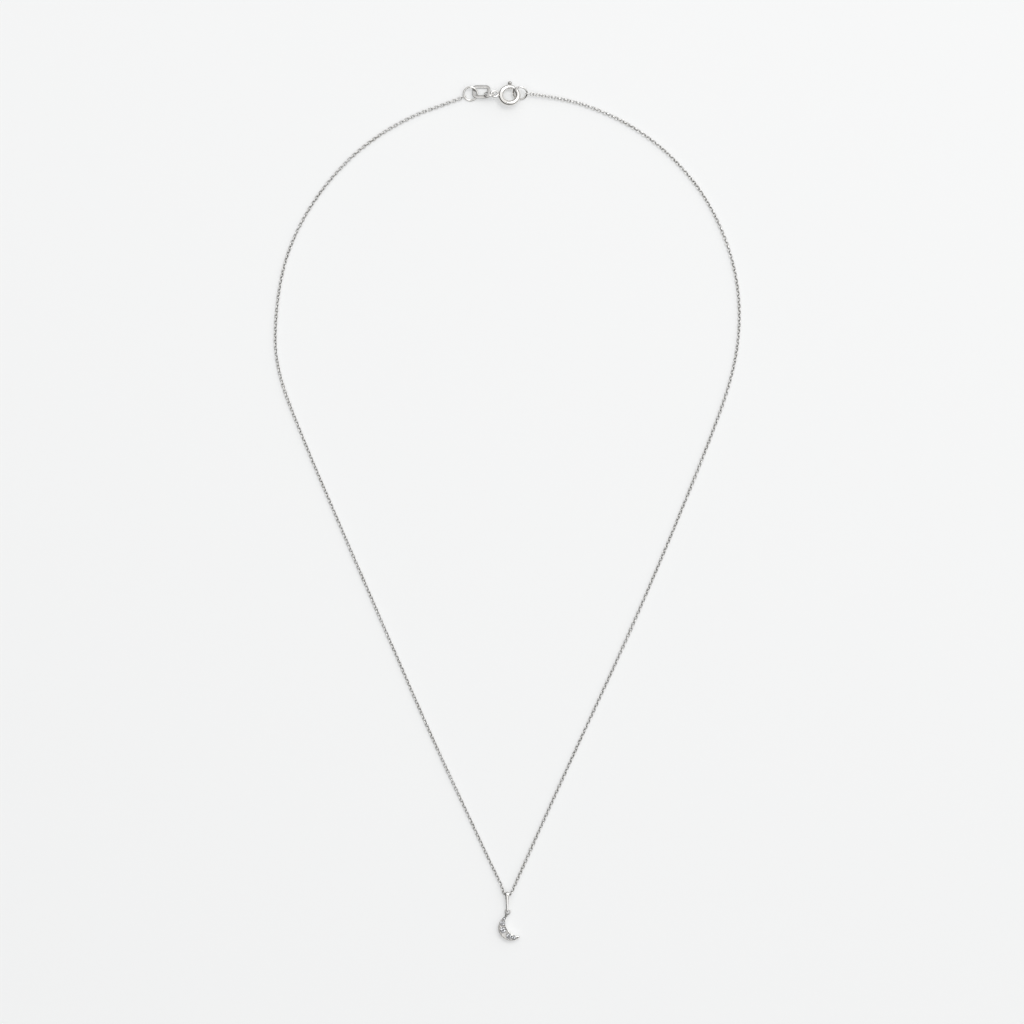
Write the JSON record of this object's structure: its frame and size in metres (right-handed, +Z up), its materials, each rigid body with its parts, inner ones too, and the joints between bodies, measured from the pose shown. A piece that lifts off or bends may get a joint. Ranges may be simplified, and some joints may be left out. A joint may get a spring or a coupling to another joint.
{
  "type": "moon pendant",
  "caption": "Crescent moon pendant set with clear stones, on a fine white-metal cable chain with a spring ring clasp, lying closed.",
  "frame": {"origin": "middle of the necklace's footprint, on the surface that it lies on", "axes": "+Z up from the surface, +Y from the pendant to the clasp, +X to the right as seen from above"},
  "size_m": [0.1016, 0.1864, 0.0025],
  "materials": {
    "white_metal": "polished",
    "clear_stone": "faceted"
  },
  "bodies": {
    "necklace": {"chain_left": "white_metal", "chain_right": "white_metal", "left_end_link": "white_metal", "right_end_link": "white_metal", "end_ring": "white_metal", "catch_ring": "white_metal", "link_ring": "white_metal", "tag": "white_metal", "clasp_body": "white_metal", "bail": "white_metal", "moon": "white_metal", "stone_1": "clear_stone", "stone_2": "clear_stone", "stone_3": "clear_stone", "stone_4": "clear_stone", "stone_5": "clear_stone"},
    "trigger": {"clasp_trigger": "white_metal"}
  },
  "joints": [
    {"name": "trigger_slide", "type": "hinge", "parent": "necklace", "child": "trigger", "pos_m": [0.00043, 0.0901, 0.00135], "axis": [0, 0.309, 0.9511], "range_deg": [0, 36], "stiffness_Nm_per_rad": 0.00001, "springref_deg": -28.65}
  ]
}
